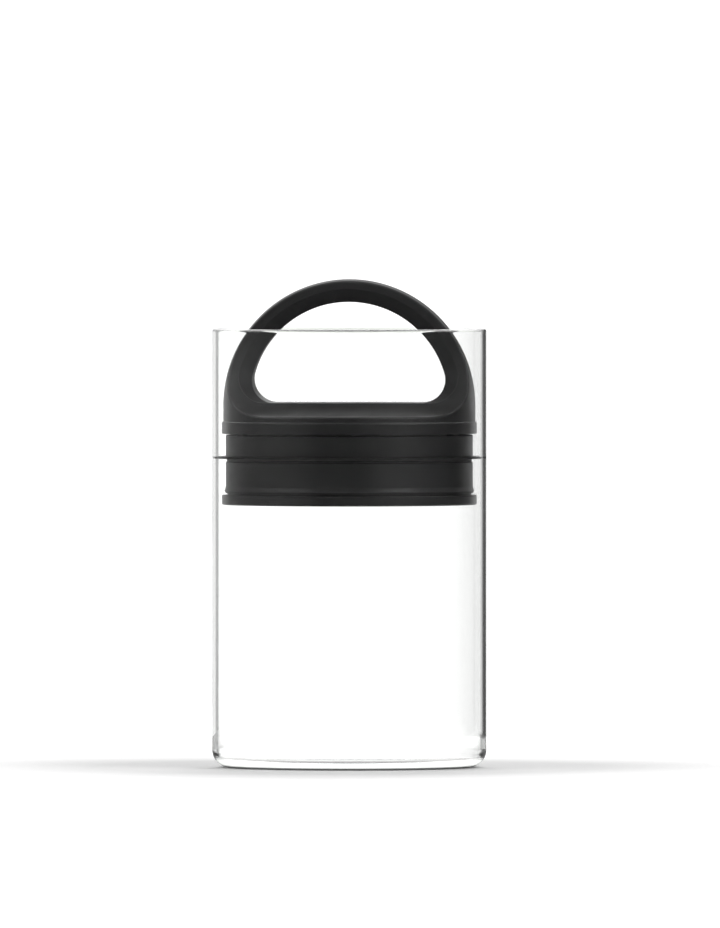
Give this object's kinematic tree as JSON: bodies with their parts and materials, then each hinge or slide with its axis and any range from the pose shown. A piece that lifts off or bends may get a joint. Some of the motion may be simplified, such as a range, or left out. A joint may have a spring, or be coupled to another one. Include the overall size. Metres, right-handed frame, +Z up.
{
  "type": "vacuum seal canister",
  "caption": "Straight glass food canister with a black piston lid part way down inside it, with an arch handle, a wiper gasket and a spring-closed air valve.",
  "frame": {"origin": "centre of the jar's resting face", "axes": "+Z up along the jar's axis, +X along the arch handle; the picture looks along +Y"},
  "size_m": [0.076, 0.076, 0.1352],
  "materials": {
    "clear_glass": "gloss",
    "black_plastic": "satin",
    "inner_plastic": "satin",
    "black_silicone": "matte",
    "clear_silicone": "matte",
    "white_acetal": "satin",
    "stainless_steel": "brushed"
  },
  "bodies": {
    "jar": {"glass_jar": "clear_glass"},
    "lid": {"upper_shell": "black_plastic", "lower_shell": "black_plastic", "wiper_gasket": "black_silicone", "base_plate": "black_plastic", "shell_screws": "stainless_steel", "valve_housing": "inner_plastic", "housing_screws": "stainless_steel", "stem_bush": "white_acetal", "return_spring": "stainless_steel", "check_valve_cage": "white_acetal"},
    "handle": {"handle_cover": "black_plastic", "carrier_plate": "inner_plastic", "carrier_screws": "stainless_steel", "valve_stem": "stainless_steel", "stem_washer": "stainless_steel", "stem_nut": "stainless_steel", "poppet": "white_acetal", "poppet_seal": "clear_silicone", "poppet_screw": "stainless_steel"},
    "check_disc": {"check_valve_disc": "clear_silicone"}
  },
  "joints": [
    {"name": "lid_slide", "type": "slide", "parent": "jar", "child": "lid", "axis": [0, 0, 1], "range_m": [-0.0702, 0.06]},
    {"name": "handle_pull", "type": "slide", "parent": "lid", "child": "handle", "axis": [0, 0, 1], "range_m": [0, 0.0035], "stiffness_N_per_m": 800, "springref_m": -0.004, "deforming": ["return_spring"]},
    {"name": "check_valve_lift", "type": "slide", "parent": "lid", "child": "check_disc", "axis": [0, 0, 1], "range_m": [0, 0.001]}
  ]
}
